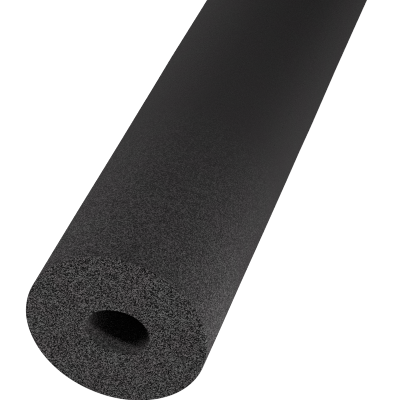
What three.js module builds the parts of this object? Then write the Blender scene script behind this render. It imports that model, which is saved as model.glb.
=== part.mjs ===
// One length of closed-cell rubber foam pipe lagging, an unslit tube that is pushed over a pipe.
// It lies on its side along +Y, where its soft wall has settled to a slight oval.
// The origin is on the floor, under the middle of its length.
import * as THREE from "three";

// Driving dimensions, in millimetres
const LENGTH = 1000; // one cut length of stock
const BORE_DIAMETER = 24; // slides over a pipe of 22 mm outside diameter
const WALL = 25; // thickness of the foam
const SKIN_EDGE_ROUND = 0.8; // soft arris where the skin turns into the cut face
const BORE_EDGE_ROUND = 0.6; // soft arris at the mouth of the bore
const SETTLE = 1.25; // the settled wall stands this much further out at each side, and lower on top
const BORE_ASIDE = 0.8; // the bore runs this far off the middle of the foam, towards +X
const BORE_LOW = 0.6; // and this far below it

// Fineness of the round shapes
const SIDES = 96; // flats around the tube, one of which lies on the floor
const EDGE_STEPS = 3; // chords across each rounded arris

const BORE_RADIUS = BORE_DIAMETER / 2;
const SKIN_RADIUS = BORE_RADIUS + WALL;
const END = LENGTH / 2;

// Material, as the photograph shows it
const FOAM_COLOUR = 0x3a3839;
const FOAM_ROUGHNESS = 0.82;

// A quarter round about (radius, along), from startAngle on, counterclockwise in the profile's plane.
function quarterRound(radius, along, size, startAngle) {
  const endAngle = startAngle + Math.PI / 2;
  const arc = new THREE.EllipseCurve(radius, along, size, size, startAngle, endAngle);
  return arc.getPoints(EDGE_STEPS);
}

// The wall's section: a long rectangle with four soft corners, closed on itself.
function wallSection() {
  const skinEdge = SKIN_RADIUS - SKIN_EDGE_ROUND;
  const boreEdge = BORE_RADIUS + BORE_EDGE_ROUND;
  const skinEnd = END - SKIN_EDGE_ROUND;
  const boreEnd = END - BORE_EDGE_ROUND;
  const section = [
    ...quarterRound(skinEdge, -skinEnd, SKIN_EDGE_ROUND, -Math.PI / 2),
    ...quarterRound(skinEdge, skinEnd, SKIN_EDGE_ROUND, 0),
    ...quarterRound(boreEdge, boreEnd, BORE_EDGE_ROUND, Math.PI / 2),
    ...quarterRound(boreEdge, -boreEnd, BORE_EDGE_ROUND, Math.PI),
  ];
  section.push(section[0].clone());
  return section;
}

// Moves each point of the round tube to where it lies in the settled one: out at the sides, in above
// and below. The bore also moves off the middle, and the foam around it follows by its share.
function settle(geometry) {
  const points = geometry.attributes.position;
  for (let i = 0; i < points.count; i++) {
    const x = points.getX(i);
    const z = points.getZ(i);
    const radius = Math.hypot(x, z);
    const stretch = 1 + (SETTLE * (x * x - z * z)) / radius ** 3;
    const boreShare = (SKIN_RADIUS - radius) / WALL;
    points.setX(i, x * stretch + BORE_ASIDE * boreShare);
    points.setZ(i, z * stretch - BORE_LOW * boreShare);
  }
  geometry.computeVertexNormals();
  geometry.computeBoundingBox();
}

// The foam tube, turned about its own bore with a flat at the bottom, then settled on the floor.
function foamTube() {
  const halfFlat = Math.PI / SIDES;
  const geometry = new THREE.LatheGeometry(wallSection(), SIDES, halfFlat);
  settle(geometry);
  const foam = new THREE.MeshStandardMaterial({
    color: FOAM_COLOUR,
    roughness: FOAM_ROUGHNESS,
    metalness: 0,
  });
  const tube = new THREE.Mesh(geometry, foam);
  tube.name = "foam_tube";
  tube.position.z = -geometry.boundingBox.min.z;
  return tube;
}

const lagging = new THREE.Group();
lagging.add(foamTube());

export default lagging;
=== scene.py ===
# %% [markdown]
# Foam pipe lagging, in Blender.
# The real thing is one length of black closed-cell rubber foam, pushed out of a die as a tube and cut to
# length with a knife. It has three surfaces: a fine matt skin, two cut faces full of tiny opened cells,
# and a dark bore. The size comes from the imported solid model, which is loaded first and never changed.

# %% Load the solid model
import math

import bpy
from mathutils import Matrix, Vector


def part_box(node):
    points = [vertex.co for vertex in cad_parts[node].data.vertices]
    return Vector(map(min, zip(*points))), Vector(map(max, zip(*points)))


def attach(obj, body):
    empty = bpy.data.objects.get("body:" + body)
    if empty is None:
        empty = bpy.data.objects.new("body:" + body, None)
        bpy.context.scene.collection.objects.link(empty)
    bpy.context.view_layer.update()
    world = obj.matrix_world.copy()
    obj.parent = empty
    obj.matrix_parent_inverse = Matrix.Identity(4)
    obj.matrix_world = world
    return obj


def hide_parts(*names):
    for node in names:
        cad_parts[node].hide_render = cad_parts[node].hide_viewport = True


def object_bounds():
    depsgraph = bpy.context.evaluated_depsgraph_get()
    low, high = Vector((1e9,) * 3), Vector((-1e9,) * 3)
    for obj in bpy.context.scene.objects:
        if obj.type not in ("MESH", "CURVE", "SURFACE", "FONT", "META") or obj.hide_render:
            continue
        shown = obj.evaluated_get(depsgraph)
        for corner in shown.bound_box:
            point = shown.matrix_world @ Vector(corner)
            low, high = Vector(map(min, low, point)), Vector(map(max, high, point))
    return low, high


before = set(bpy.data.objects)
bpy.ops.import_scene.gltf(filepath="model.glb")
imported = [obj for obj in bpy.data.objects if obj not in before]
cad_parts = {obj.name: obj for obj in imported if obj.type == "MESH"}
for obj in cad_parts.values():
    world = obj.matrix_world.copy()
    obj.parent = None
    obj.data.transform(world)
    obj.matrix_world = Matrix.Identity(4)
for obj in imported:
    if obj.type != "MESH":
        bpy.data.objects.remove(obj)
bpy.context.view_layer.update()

# %% [markdown]
# The tube's main sizes are few, and in metres. The length and the height of the axis are read off the
# solid. The bore, the wall and the way in which the soft wall has settled are the same values that the
# solid was made with.

# %% Measure the tube
MM = 1000  # millimetres in a metre, for what is printed
BORE_RADIUS = 0.012
WALL = 0.025
SKIN_RADIUS = BORE_RADIUS + WALL
SETTLE = 0.00125  # the settled wall stands this much further out at each side, and lower on top
BORE_ASIDE = 0.0008  # the bore runs this far off the middle, towards +X
BORE_LOW = 0.0006  # and this far below it

low_corner, high_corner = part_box("foam_tube")
NEAR_END = low_corner.y
FAR_END = high_corner.y
LENGTH = FAR_END - NEAR_END
HALF_LENGTH = LENGTH / 2
AXIS_HEIGHT = (low_corner.z + high_corner.z) / 2
AXIS = Vector((0, 0, AXIS_HEIGHT))
print(f"tube: {LENGTH:.3f} m long, axis {AXIS_HEIGHT * MM:.2f} mm above the floor")

# %% [markdown]
# The camera comes before any modelling, because it decides how large each detail will be in the picture.
# A long lens from above the near end, a little to the right, gives the slow taper of a product photograph.
# Its place is measured from the middle of the near cut face.

# %% Set the camera
IMAGE_WIDTH = 400  # pixels
FOCAL_PIXELS = 1701.3  # the focal length, in pixels of that image
SENSOR_WIDTH = 36  # mm
CAMERA_FROM_FACE = Vector((0.18069, -0.49971, 0.42944))
CAMERA_AZIMUTH = math.radians(16.22)
CAMERA_ELEVATION = math.radians(34.598)


def add_camera():
    """A camera that looks at the near end of the tube, level from side to side."""
    bpy.ops.object.camera_add(location=AXIS + Vector((0, NEAR_END, 0)) + CAMERA_FROM_FACE)
    camera = bpy.context.object
    camera.name = "camera"
    camera.data.sensor_width = SENSOR_WIDTH
    camera.data.lens = FOCAL_PIXELS * SENSOR_WIDTH / IMAGE_WIDTH
    flat = math.cos(CAMERA_ELEVATION)
    back = Vector((
        math.sin(CAMERA_AZIMUTH) * flat,
        -math.cos(CAMERA_AZIMUTH) * flat,
        math.sin(CAMERA_ELEVATION),
    ))
    camera.rotation_euler = (-back).to_track_quat("-Z", "Y").to_euler()
    bpy.context.scene.camera = camera
    print(f"camera: {camera.data.lens:.1f} mm lens")


add_camera()

# %% [markdown]
# The tube's shape is a turned one. A wall section, drawn once as a thin rectangle beside the axis, can be
# turned round the bore like work on a lathe. A plane without its face is such a rectangle. The turning is
# easiest round the world's own Y axis, so the tube is made there, and lifted onto the floor at the end.

# %% Draw the wall's section


def pick(piece):
    """Selects this piece alone, and makes it the active one."""
    bpy.ops.object.select_all(action="DESELECT")
    piece.select_set(True)
    bpy.context.view_layer.objects.active = piece


def start_editing(piece):
    """Edit mode on this piece alone, with nothing selected."""
    pick(piece)
    bpy.ops.object.mode_set(mode="EDIT")
    bpy.ops.mesh.select_all(action="DESELECT")


def edit_all(piece):
    """Edit mode on this piece alone, with its whole mesh selected."""
    start_editing(piece)
    bpy.ops.mesh.select_all(action="SELECT")


def stop_editing():
    """Back to object mode, where the mesh can be read."""
    bpy.ops.object.mode_set(mode="OBJECT")


def add_section():
    """The closed outline of the wall, above the axis, in the plane of the bore."""
    bpy.ops.object.select_all(action="DESELECT")
    middle = (0, 0, BORE_RADIUS + WALL / 2)
    bpy.ops.mesh.primitive_plane_add(size=1, location=middle, rotation=(0, math.pi / 2, 0))
    section = bpy.context.object
    section.name = "rubber_foam_tube"
    section.scale = (WALL, LENGTH, 1)
    bpy.ops.object.transform_apply(location=True, rotation=True, scale=True)
    edit_all(section)
    bpy.ops.mesh.delete(type="ONLY_FACE")
    stop_editing()
    return section


tube = add_section()
print("section:", len(tube.data.vertices), "corners")

# %% [markdown]
# Foam never has a knife-sharp arris, so the section's corners are bevelled, but more finely than in the
# solid, because the cut looks crisp. Its short edges are then cut into many steps, so that the cut faces
# get a mesh that is fine enough for real cells. The long edges need fewer. By hand one would pick the
# corners and edges with the mouse, and here they are picked by where they lie.

# %% Round and divide the section
SKIN_ARRIS = 0.0004
BORE_ARRIS = 0.0004
ARRIS_STEPS = 3
FACE_CUTS = 58  # across the wall at each end, about 0.4 mm apart
SKIN_CUTS = 36
BORE_CUTS = 16
TINY = 0.00001


def select_parts(piece, kind, wanted):
    """Edit mode with the vertices, edges or faces selected for which wanted() is true, and no others."""
    start_editing(piece)
    bpy.ops.mesh.select_mode(type=kind)
    stop_editing()
    parts = {"VERT": piece.data.vertices, "EDGE": piece.data.edges, "FACE": piece.data.polygons}
    for part in parts[kind]:
        part.select = wanted(part)
    bpy.ops.object.mode_set(mode="EDIT")


def soften_corners(section, radius, arris):
    """Rounds the corners of the section that lie at this distance from the axis."""
    select_parts(section, "VERT", lambda vertex: abs(vertex.co.z - radius) < TINY)
    bpy.ops.mesh.bevel(offset=arris, segments=ARRIS_STEPS, affect="VERTICES")
    stop_editing()


def divide_edges(section, cuts, wanted):
    """Cuts each edge whose middle is wanted into equal steps."""

    def middle_is_wanted(edge):
        first, second = (section.data.vertices[i].co for i in edge.vertices)
        return wanted((first + second) / 2)

    select_parts(section, "EDGE", middle_is_wanted)
    bpy.ops.mesh.subdivide(number_cuts=cuts)
    stop_editing()


soften_corners(tube, SKIN_RADIUS, SKIN_ARRIS)
soften_corners(tube, BORE_RADIUS, BORE_ARRIS)
divide_edges(tube, SKIN_CUTS, lambda middle: middle.z > SKIN_RADIUS - TINY)
divide_edges(tube, BORE_CUTS, lambda middle: middle.z < BORE_RADIUS + TINY)
divide_edges(tube, FACE_CUTS, lambda middle: abs(middle.y) > HALF_LENGTH - TINY)
print("section:", len(tube.data.vertices), "points")

# %% [markdown]
# Spin in edit mode could carry the section round, but it grows slow with hundreds of steps. The Screw
# modifier with no rise is the same lathe, and quick. The turned mesh has its doubled seam merged, and its
# normals recalculated, because a lathe can turn a shape inside out.

# %% Turn the section round the bore
TURN_STEPS = 512
SEAM_GAP = TINY / 10  # points closer than this are one point


def turn_on_lathe(section):
    """Makes the closed tube out of its wall section."""
    lathe = section.modifiers.new("lathe", "SCREW")
    lathe.axis = "Y"
    lathe.angle = math.tau
    lathe.steps = TURN_STEPS
    lathe.render_steps = TURN_STEPS
    lathe.use_merge_vertices = True
    lathe.merge_threshold = SEAM_GAP
    bpy.ops.object.modifier_apply(modifier=lathe.name)
    edit_all(section)
    bpy.ops.mesh.remove_doubles(threshold=SEAM_GAP)
    bpy.ops.mesh.normals_make_consistent(inside=False)
    stop_editing()


turn_on_lathe(tube)
print("tube:", len(tube.data.vertices), "vertices,", 2 * len(tube.data.polygons), "triangles")

# %% [markdown]
# A soft tube that has lain on its side is never quite round. The wall has gone out at the sides and in
# above and below, and the bore of a pushed-out tube is seldom in the very middle. A lattice or
# proportional editing could do this by hand. The solid was settled by one formula, so the same formula
# is used here, and the two surfaces agree.

# %% Settle the tube


def settle(piece):
    """Moves each vertex of the round tube to where it lies in the settled one."""
    for vertex in piece.data.vertices:
        across, up = vertex.co.x, vertex.co.z
        radius = math.hypot(across, up)
        stretch = 1 + SETTLE * (across * across - up * up) / radius**3
        bore_share = (SKIN_RADIUS - radius) / WALL
        vertex.co.x = across * stretch + BORE_ASIDE * bore_share
        vertex.co.z = up * stretch - BORE_LOW * bore_share


settle(tube)
bpy.context.view_layer.update()
print("settled tube, in mm:", [round(value * MM, 1) for value in tube.dimensions])

# %% [markdown]
# The cut faces and the skin each get a vertex group, so that a relief can be put on them alone. Vertices
# are chosen by where they lie: at an end, near the bore, or on the skin, which is all the rest.

# %% Sort the surfaces
BORE_REACH = BORE_RADIUS + SETTLE + BORE_ARRIS


def on_cut_face(point):
    """True at the two ends of the tube."""
    return abs(point.y) > HALF_LENGTH - TINY


def by_bore(point):
    """True on the wall of the bore and its soft mouth."""
    return math.hypot(point.x - BORE_ASIDE, point.z + BORE_LOW) < BORE_REACH


def group_of(piece, name, wanted):
    """A vertex group of the vertices whose place is wanted."""
    select_parts(piece, "VERT", lambda vertex: wanted(vertex.co))
    piece.vertex_groups.new(name=name)
    bpy.ops.object.vertex_group_assign()
    stop_editing()
    print("group:", name)


group_of(tube, "cut_faces", on_cut_face)
group_of(tube, "skin", lambda point: not on_cut_face(point) and not by_bore(point))

# %% [markdown]
# Skin, cut face and bore are the same rubber, and differ in how rough and how open their surface is.
# One node group holds what the three finishes share: foam cells of a given size, each with a tone of its
# own, a pit in its middle and a wall round it. A cell's tone is partly the rubber's grain and partly painted
# shade for the cell's depth and facing, and the pit is painted darker than the wall: painted shade in the
# pit and painted light on the wall. Its contrast can be turned down, for calmer surfaces.

# %% Make the shared cell pattern
USUAL_CELLS = 2000.0  # for each metre, until a finish asks for its own
# This share is painted shade: it darkens each cell's pit and lightens its wall.
PAINTED_PIT_SHADE_SHARE = 0.35  # of a cell's value that comes from its wall; the rest is its own tone
WALL_FOOT = 0.2  # where the wall starts to rise, in cells from the middle of the pit
WALL_TOP = 0.7  # and where it is full
FULL_CONTRAST = 1.0
PLAIN_VALUE = 0.5  # what a cell fades to as its contrast is turned down


def add_socket(group, name, in_out, value=None):
    """One named number that goes into or comes out of a node group."""
    socket = group.interface.new_socket(name=name, in_out=in_out, socket_type="NodeSocketFloat")
    if value is not None:
        socket.default_value = value


def make_cell_group():
    """Foam cells as one value: a tone for each cell, partly grain and partly painted shade, and lighter on
    the wall round it than in its pit, which is painted shade in the pit.
    """
    group = bpy.data.node_groups.new("foam_cells", "ShaderNodeTree")
    add_socket(group, "Cells per Metre", "INPUT", USUAL_CELLS)
    add_socket(group, "Painted Pit Shade Share", "INPUT", PAINTED_PIT_SHADE_SHARE)
    add_socket(group, "Contrast", "INPUT", FULL_CONTRAST)
    add_socket(group, "Value", "OUTPUT")
    nodes, links = group.nodes, group.links
    start = nodes.new("NodeGroupInput")
    end = nodes.new("NodeGroupOutput")
    place = nodes.new("ShaderNodeTexCoord")
    cells = nodes.new("ShaderNodeTexVoronoi")
    links.new(place.outputs["Object"], cells.inputs["Vector"])
    links.new(start.outputs["Cells per Metre"], cells.inputs["Scale"])
    tone = nodes.new("ShaderNodeSeparateColor")
    links.new(cells.outputs["Color"], tone.inputs["Color"])
    # Darker in the middle of the pit, lighter towards its wall: painted shade in the pit.
    walls = nodes.new("ShaderNodeMapRange")
    walls.inputs["From Min"].default_value = WALL_FOOT
    walls.inputs["From Max"].default_value = WALL_TOP
    links.new(cells.outputs["Distance"], walls.inputs["Value"])
    both = nodes.new("ShaderNodeMix")
    links.new(start.outputs["Painted Pit Shade Share"], both.inputs["Factor"])
    links.new(tone.outputs["Red"], both.inputs["A"])
    links.new(walls.outputs["Result"], both.inputs["B"])
    faded = nodes.new("ShaderNodeMix")
    faded.inputs["A"].default_value = PLAIN_VALUE
    links.new(start.outputs["Contrast"], faded.inputs["Factor"])
    links.new(both.outputs["Result"], faded.inputs["B"])
    links.new(faded.outputs["Result"], end.inputs["Value"])
    return group


foam_cells = make_cell_group()
print("node group:", foam_cells.name)

# %% [markdown]
# A finish puts the shared cells through a colour ramp of three tones of black rubber, and a bump raises
# the light ones. The spread of the tones is partly painted shade in the pits and painted light on the walls.
# A wide, weak tint keeps the black from being flat. The skin comes first. It is pressed smooth by the die,
# so its contrast is small, and it has no gloss at all, because a gloss would light up its whole outline.

# %% Make the skin's finish
TINT_CLOUDS = 70.0  # clouds of tint for each metre
TINT_EDGES = (0.4, 0.6)  # the part of a cloud over which one tint turns into the other
SKIN_TINTS = ((1.0, 0.93, 0.965), (0.985, 0.965, 0.965))  # both a little warm
# Each tone is a cell's value, and how light the rubber is painted there, partly as painted shade of the
# cells
SKIN_TONES = ((0.05, 0.0056), (0.5, 0.04), (0.95, 0.149))

# A Mix node holds one set of sockets for each kind of value. These are its sockets for colours
COLOUR_A = 6
COLOUR_B = 7
COLOUR_RESULT = 2


def add_ramp(nodes, stops):
    """A colour ramp with a stop for each position and colour."""
    ramp = nodes.new("ShaderNodeValToRGB")
    elements = ramp.color_ramp.elements
    while len(elements) < len(stops):
        elements.new(0.5)  # anywhere between the first two, because the loop below moves it
    for element, (position, colour) in zip(elements, stops):
        element.position = position
        element.color = (*colour, 1)
    return ramp


def make_foam(name, cells_per_metre, tones, tints, rough, gloss, bump_height):
    """A rubber foam surface whose tone and bump follow the shared cell pattern."""
    material = bpy.data.materials.new(name)
    material.use_nodes = True
    nodes, links = material.node_tree.nodes, material.node_tree.links
    shader = nodes["Principled BSDF"]
    cells = nodes.new("ShaderNodeGroup")
    cells.name = "cells"
    cells.node_tree = foam_cells
    cells.inputs["Cells per Metre"].default_value = cells_per_metre
    ramp = add_ramp(nodes, [(position, (tone, tone, tone)) for position, tone in tones])
    links.new(cells.outputs["Value"], ramp.inputs["Fac"])
    place = nodes.new("ShaderNodeTexCoord")
    cloud = nodes.new("ShaderNodeTexNoise")
    cloud.inputs["Scale"].default_value = TINT_CLOUDS
    links.new(place.outputs["Object"], cloud.inputs["Vector"])
    tint = add_ramp(nodes, list(zip(TINT_EDGES, tints)))
    links.new(cloud.outputs["Fac"], tint.inputs["Fac"])
    tinted = nodes.new("ShaderNodeMix")
    tinted.data_type = "RGBA"
    tinted.blend_type = "MULTIPLY"
    tinted.inputs["Factor"].default_value = 1.0
    links.new(ramp.outputs["Color"], tinted.inputs[COLOUR_A])
    links.new(tint.outputs["Color"], tinted.inputs[COLOUR_B])
    links.new(tinted.outputs[COLOUR_RESULT], shader.inputs["Base Color"])
    bump = nodes.new("ShaderNodeBump")
    bump.inputs["Distance"].default_value = bump_height
    links.new(cells.outputs["Value"], bump.inputs["Height"])
    links.new(bump.outputs["Normal"], shader.inputs["Normal"])
    shader.inputs["Roughness"].default_value = rough
    shader.inputs["Specular IOR Level"].default_value = gloss
    print("material:", name)
    return material


skin_finish = make_foam(
    "foam_skin",
    cells_per_metre=2500.0,
    tones=SKIN_TONES,
    tints=SKIN_TINTS,
    rough=0.85,
    gloss=0.0,
    bump_height=0.0001,
)

# %% [markdown]
# The cut face has the most contrast: pits painted almost black, which is painted shade, and walls painted
# light, a painted highlight. Its cells are the smallest. The bore is smoother, so its tones lie closer
# together and its bump is lower.

# %% Make the finishes of the cut and the bore
CUT_TINTS = ((1.0, 0.92, 0.94), (0.98, 0.98, 0.97))  # a warm and a plain black
CUT_TONES = ((0.3, 0.0018), (0.56, 0.03), (0.8, 0.203))
# The bore's tones are about twice as light as the cut face's: painted light, standing in for the key light
# on the wall inside the mouth.
BORE_PAINTED_LIGHT_TONES = ((0.1, 0.0095), (0.5, 0.059), (0.9, 0.235))

face_finish = make_foam(
    "cut_foam",
    cells_per_metre=2900.0,
    tones=CUT_TONES,
    tints=CUT_TINTS,
    rough=0.9,
    gloss=0.03,
    bump_height=0.00012,
)
bore_finish = make_foam(
    "bore_foam",
    cells_per_metre=2500.0,
    tones=BORE_PAINTED_LIGHT_TONES,
    tints=CUT_TINTS,
    rough=0.9,
    gloss=0.0,
    bump_height=0.00005,
)

# %% [markdown]
# The skin's stipple is plainest near the ends, where the tube is cut and handled, and calmer along the
# middle. The bore's wall is coarse only at its mouth. Deeper in, its cells fade to a darker, even tone,
# which is painted shade in the bore. The contrast of the cells is therefore led by the distance from the
# middle of the tube, from full at the ends to almost none further in.

# %% Calm the cells away from the ends


def calm_the_middle(material, reach, least):
    """Fades the contrast of the cells to the least, over this reach from each end of the tube."""
    nodes, links = material.node_tree.nodes, material.node_tree.links
    place = nodes.new("ShaderNodeTexCoord")
    along = nodes.new("ShaderNodeSeparateXYZ")
    links.new(place.outputs["Object"], along.inputs["Vector"])
    distance = nodes.new("ShaderNodeMath")
    distance.operation = "ABSOLUTE"
    links.new(along.outputs["Y"], distance.inputs[0])
    fade = nodes.new("ShaderNodeMapRange")
    fade.inputs["From Min"].default_value = HALF_LENGTH - reach
    fade.inputs["From Max"].default_value = HALF_LENGTH
    fade.inputs["To Min"].default_value = least
    links.new(distance.outputs["Value"], fade.inputs["Value"])
    links.new(fade.outputs["Result"], nodes["cells"].inputs["Contrast"])
    print(f"calmed: {material.name}, over {reach * MM:.0f} mm from each end")


calm_the_middle(skin_finish, reach=0.12, least=0.06)
# In the bore this also darkens the wall a little deeper in from the mouth: painted shade.
calm_the_middle(bore_finish, reach=0.025, least=0.1)

# %% [markdown]
# The finishes go on now, while the faces can still be told apart by their exact place. The skin's goes on
# first, over the whole tube. The bore takes its own next, and then the cut faces with their rounded
# arrises, each through a material slot of its own, as they would by hand in edit mode.

# %% Put each finish on its surface


def anywhere(point):
    """True on the whole tube."""
    return True


def on_cut_or_arris(point):
    """True on the cut faces and on the rounded arrises along their edges."""
    return abs(point.y) > HALF_LENGTH - BORE_ARRIS


def give_finish(piece, material, wanted):
    """Adds the material and assigns it to the faces whose middle is wanted."""
    piece.data.materials.append(material)
    select_parts(piece, "FACE", lambda face: wanted(face.center))
    piece.active_material_index = len(piece.data.materials) - 1
    bpy.ops.object.material_slot_assign()
    stop_editing()
    print("finish:", material.name)


give_finish(tube, skin_finish, anywhere)
give_finish(tube, bore_finish, by_bore)
give_finish(tube, face_finish, on_cut_or_arris)

# %% [markdown]
# A knife opens thousands of little bubbles, which leaves round pits with thin walls between them. On the
# cut faces the largest of them are real relief: a Displace modifier with a cell texture. Slow waves from
# the knife, and an uneven skin, are two more. Each texture is a formula, so the result is the same
# every time.

# %% Press relief into the foam


def add_relief(piece, name, kind, spacing, height, group):
    """Displaces one vertex group along its normals by a procedural texture, and applies it."""
    texture = bpy.data.textures.new(name, kind)
    texture.noise_scale = spacing
    relief = piece.modifiers.new(name, "DISPLACE")
    relief.texture = texture
    relief.texture_coords = "LOCAL"
    relief.vertex_group = group
    relief.strength = height
    pick(piece)
    bpy.ops.object.modifier_apply(modifier=relief.name)
    print("relief:", name)


add_relief(tube, "knife_waves", "CLOUDS", spacing=0.014, height=0.0005, group="cut_faces")
add_relief(tube, "large_cells", "VORONOI", spacing=0.0009, height=0.0003, group="cut_faces")
add_relief(tube, "uneven_skin", "CLOUDS", spacing=0.06, height=0.0005, group="skin")

# %% [markdown]
# The tube was built round the world's Y axis. It is now lifted by the height of its axis, in edit mode, so
# that the object's own origin stays where it is. Smooth shading hides the facets of the lathe.

# %% Lift the tube onto the floor
edit_all(tube)
bpy.ops.transform.translate(value=AXIS)
stop_editing()
bpy.ops.object.shade_smooth()
print("lowest point, in mm:", round(min(vertex.co.z for vertex in tube.data.vertices) * MM, 2))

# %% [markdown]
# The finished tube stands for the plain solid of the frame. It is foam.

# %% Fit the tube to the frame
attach(tube, "root")
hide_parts("foam_tube")
print("fitted:", tube.name)

# %% [markdown]
# The stage is a pale floor under soft light. The photograph's ground is pure white without a shadow, so
# the floor glows just enough to look white. The tube's low sides are lit by that white ground beside them.

# %% Lay the floor
FLOOR_SIZE = 40.0
FLOOR_TONE = (0.2, 0.2, 0.2, 1)
FLOOR_GLOW = 1.0
WHITE = (1, 1, 1, 1)


def make_floor():
    """A large pale floor just under the tube."""
    bpy.ops.object.select_all(action="DESELECT")
    bpy.ops.mesh.primitive_plane_add(size=FLOOR_SIZE, location=(0, 0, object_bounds()[0].z))
    floor = bpy.context.object
    floor.name = "floor"
    material = bpy.data.materials.new("pale_floor")
    material.use_nodes = True
    shader = material.node_tree.nodes["Principled BSDF"]
    shader.inputs["Base Color"].default_value = FLOOR_TONE
    shader.inputs["Roughness"].default_value = 1.0
    shader.inputs["Specular IOR Level"].default_value = 0.0
    shader.inputs["Emission Color"].default_value = WHITE
    shader.inputs["Emission Strength"].default_value = FLOOR_GLOW
    material.cycles.emission_sampling = "NONE"  # so wide a glow is found well enough by chance
    floor.data.materials.append(material)
    print(f"floor: {FLOOR_SIZE:.0f} m wide")


make_floor()

# %% [markdown]
# Black foam shows its shape only by the light along its sides. Softboxes stand close to it: a key light
# from the upper right, which also reaches into the bore, weak ones low in front of the cut face, a row of
# three along the right side, the smallest of them low beside the cut, and two rim lights on the left. The
# far end gets the same set, so that the tube reads as well from behind. None of them is seen by the camera.

# %% Set up the softboxes
SOFTBOX_SPREAD = math.radians(120)
SOFTBOXES = (
    # name, turn and height in degrees, reach, distance from the end of the tube, size, watts
    ("key", 57, 53, 0.45, 0.0, 0.05, 0.22),
    ("low_key", 40, 30, 0.45, -0.05, 0.06, 0.009),
    ("right_low", 100, 0, 0.3, 0.0, 0.06, 0.13),
    ("right_flank", 110, -15, 0.1, -0.01, 0.02, 0.0075),
    ("right_back", 120, 1, 0.6, 0.1, 0.1, 0.36),
    ("low_front", -15, -10, 0.14, 0.0, 0.02, 0.0065),
    ("left_rim", -90, 40, 0.45, -0.05, 0.3, 0.37),
    ("left_back", -115, 40, 0.6, 0.15, 0.3, 0.85),
)


def add_softbox(name, turn, height, reach, along, size, power, end):
    """A square area light that faces the tube near one end, -1 for the near end and 1 for the far one."""
    turn, height = math.radians(turn), math.radians(height)
    target = AXIS + Vector((0, end * (FAR_END - along), 0))
    flat = math.cos(height)
    away = Vector((math.sin(turn) * flat, end * math.cos(turn) * flat, math.sin(height)))
    bpy.ops.object.light_add(type="AREA", location=target + away * reach)
    light = bpy.context.object
    light.name = name
    light.data.size = size
    light.data.spread = SOFTBOX_SPREAD
    light.data.energy = power
    light.rotation_euler = (-away).to_track_quat("-Z", "Y").to_euler()
    light.visible_camera = False


for name, *setting in SOFTBOXES:
    add_softbox("near_" + name, *setting, -1)
    add_softbox("far_" + name, *setting, 1)
print("softboxes:", 2 * len(SOFTBOXES))

# %% [markdown]
# The surround is white to the camera, as in a photograph made for a shop, but gives no light of its own,
# so that the bore stays black inside. The colours are shown as they are, and the grain is kept: there is
# no denoising, and the pixel filter is a little sharper than usual.

# %% Make the surround
PIXEL_FILTER = 1.1  # pixels


def make_surround():
    """A world that looks white and gives no light."""
    world = bpy.data.worlds.new("white_surround")
    world.use_nodes = True
    nodes, links = world.node_tree.nodes, world.node_tree.links
    background = nodes["Background"]
    background.inputs["Color"].default_value = WHITE
    ray = nodes.new("ShaderNodeLightPath")
    links.new(ray.outputs["Is Camera Ray"], background.inputs["Strength"])
    bpy.context.scene.world = world
    print("surround:", world.name)


make_surround()
scene = bpy.context.scene
scene.view_settings.view_transform = "Standard"
scene.cycles.use_denoising = False
scene.cycles.filter_width = PIXEL_FILTER
